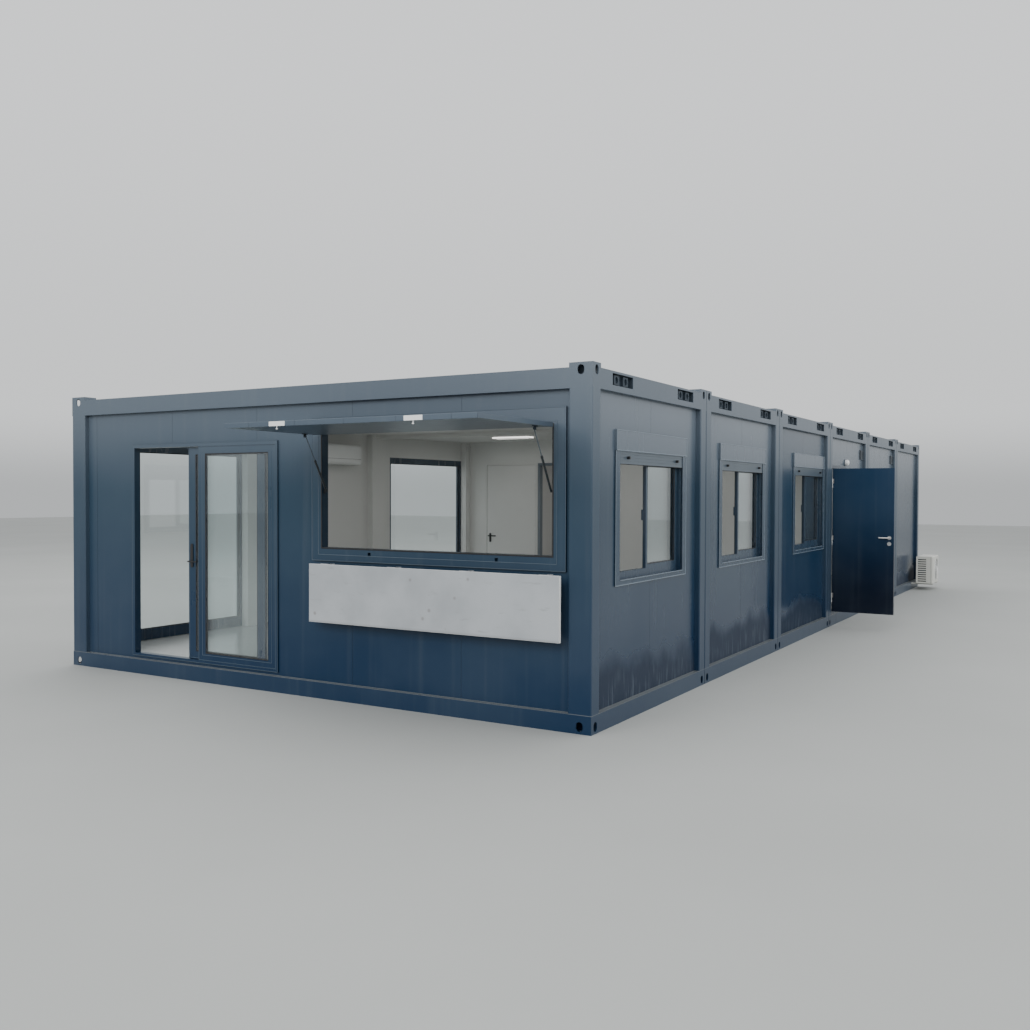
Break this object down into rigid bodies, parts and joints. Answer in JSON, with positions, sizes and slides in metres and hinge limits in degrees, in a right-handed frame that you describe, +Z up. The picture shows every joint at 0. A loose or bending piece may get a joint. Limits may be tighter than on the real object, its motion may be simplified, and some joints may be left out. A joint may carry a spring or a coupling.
{
  "type": "portable site cabin",
  "caption": "Steel-framed site building of joined container modules with a serving hatch, a sliding glass door, shuttered windows and a steel side door.",
  "frame": {"origin": "middle of the front floor beam's underside, under the counter side", "axes": "+X to the window side, +Y to the back along the row of modules, +Z up"},
  "size_m": [6.852, 15.736, 2.8],
  "materials": {
    "blue_paint": "satin",
    "bracket_zinc": "satin",
    "counter_white": "satin",
    "dark_hardware": "satin",
    "floor_vinyl": "satin",
    "glass": "polished",
    "grille_grey": "satin",
    "hatch_paint": "satin",
    "joint_seal": "satin",
    "lamp_white": "satin",
    "navy_frame": "satin",
    "pan_sheet": "satin",
    "roof_sheet": "satin",
    "shutter_paint": "satin",
    "socket_grey": "satin",
    "stainless": "polished",
    "strut_black": "satin",
    "unit_grey": "satin",
    "wall_paint": "satin",
    "white_lining": "matte"
  },
  "bodies": {
    "cabin": {"back_wall": "wall_paint", "bulkhead_lamp": "lamp_white", "ceiling_lamps": "lamp_white", "ceiling_strips": "white_lining", "corner_linings": "white_lining", "counter_brackets": "bracket_zinc", "door_wall_over": "wall_paint", "door_wall_sides": "wall_paint", "fixed_panes": "glass", "floor_beams": "blue_paint", "floor_boards": "floor_vinyl", "floor_castings": "blue_paint", "floor_pans": "pan_sheet", "front_wall_hatch": "wall_paint", "front_wall_left": "wall_paint", "front_wall_over_door": "wall_paint", "hatch_frame": "hatch_paint", "indoor_cooler": "white_lining", "inner_door_frame": "white_lining", "inner_way_frame": "navy_frame", "joint_covers": "joint_seal", "left_glazing_frames": "navy_frame", "left_walls_glazed": "wall_paint", "left_walls_plain": "wall_paint", "outdoor_unit": "unit_grey", "partition_over_doors": "white_lining", "partition_sides": "white_lining", "patio_fixed_leaf": "navy_frame", "patio_frame": "navy_frame", "posts": "blue_paint", "right_wall_1": "wall_paint", "right_wall_2": "wall_paint", "right_wall_3": "wall_paint", "right_walls_plain": "wall_paint", "roof_beams": "blue_paint", "roof_castings": "blue_paint", "roof_panels": "roof_sheet", "shutter_boxes": "shutter_paint", "shutter_curtains": "shutter_paint", "side_door_frame": "wall_paint", "socket_plates": "socket_grey", "strut_feet": "bracket_zinc", "vent_grilles": "grille_grey", "window_frames": "wall_paint", "window_sashes": "navy_frame"},
    "sliding_leaf": {"sliding_leaf": "navy_frame", "sliding_glass": "glass", "sliding_pulls": "strut_black"},
    "flap": {"hatch_flap": "wall_paint", "flap_fittings": "hatch_paint"},
    "strut_rods": {"strut_rods": "bracket_zinc"},
    "strut_tubes": {"strut_tubes": "strut_black"},
    "counter": {"counter_board": "counter_white", "counter_hinges": "bracket_zinc"},
    "side_door": {"side_door_leaf": "wall_paint", "side_door_hinges": "stainless", "side_door_levers": "stainless"},
    "inner_door": {"inner_door_leaf": "white_lining", "inner_door_hinges": "dark_hardware", "inner_door_levers": "dark_hardware"}
  },
  "joints": [
    {"name": "front_sliding_door", "type": "slide", "parent": "cabin", "child": "sliding_leaf", "axis": [1, 0, 0], "range_m": [-0.734, 0.0965]},
    {"name": "hatch_flap_hinge", "type": "hinge", "parent": "cabin", "child": "flap", "pos_m": [0, -0.04, 2.355], "axis": [1, 0, 0], "range_deg": [0, 90]},
    {"name": "strut_swing", "type": "hinge", "parent": "flap", "child": "strut_rods", "pos_m": [0, -0.24, 2.3], "axis": [1, 0, 0], "range_deg": [-117.24, 0]},
    {"name": "strut_slide", "type": "slide", "parent": "strut_rods", "child": "strut_tubes", "axis": [0, 0.4981, -0.8671], "range_m": [-0.21679, 0]},
    {"name": "counter_hinge", "type": "hinge", "parent": "cabin", "child": "counter", "pos_m": [0, -0.082, 1.193], "axis": [-1, 0, 0], "range_deg": [0, 90]},
    {"name": "side_door_hinge", "type": "hinge", "parent": "cabin", "child": "side_door", "pos_m": [3.0055, 7.525, 1.23], "axis": [0, 0, 1], "range_deg": [0, 90]},
    {"name": "inner_door_hinge", "type": "hinge", "parent": "cabin", "child": "inner_door", "pos_m": [-1.561, 7.248, 1.125], "axis": [0, 0, 1], "range_deg": [0, 90]}
  ],
  "couplings": [
    {"joint": "strut_swing", "follows": "hatch_flap_hinge", "ratio": -1.3026},
    {"joint": "strut_slide", "follows": "hatch_flap_hinge", "m_per_rad": -0.13795}
  ]
}
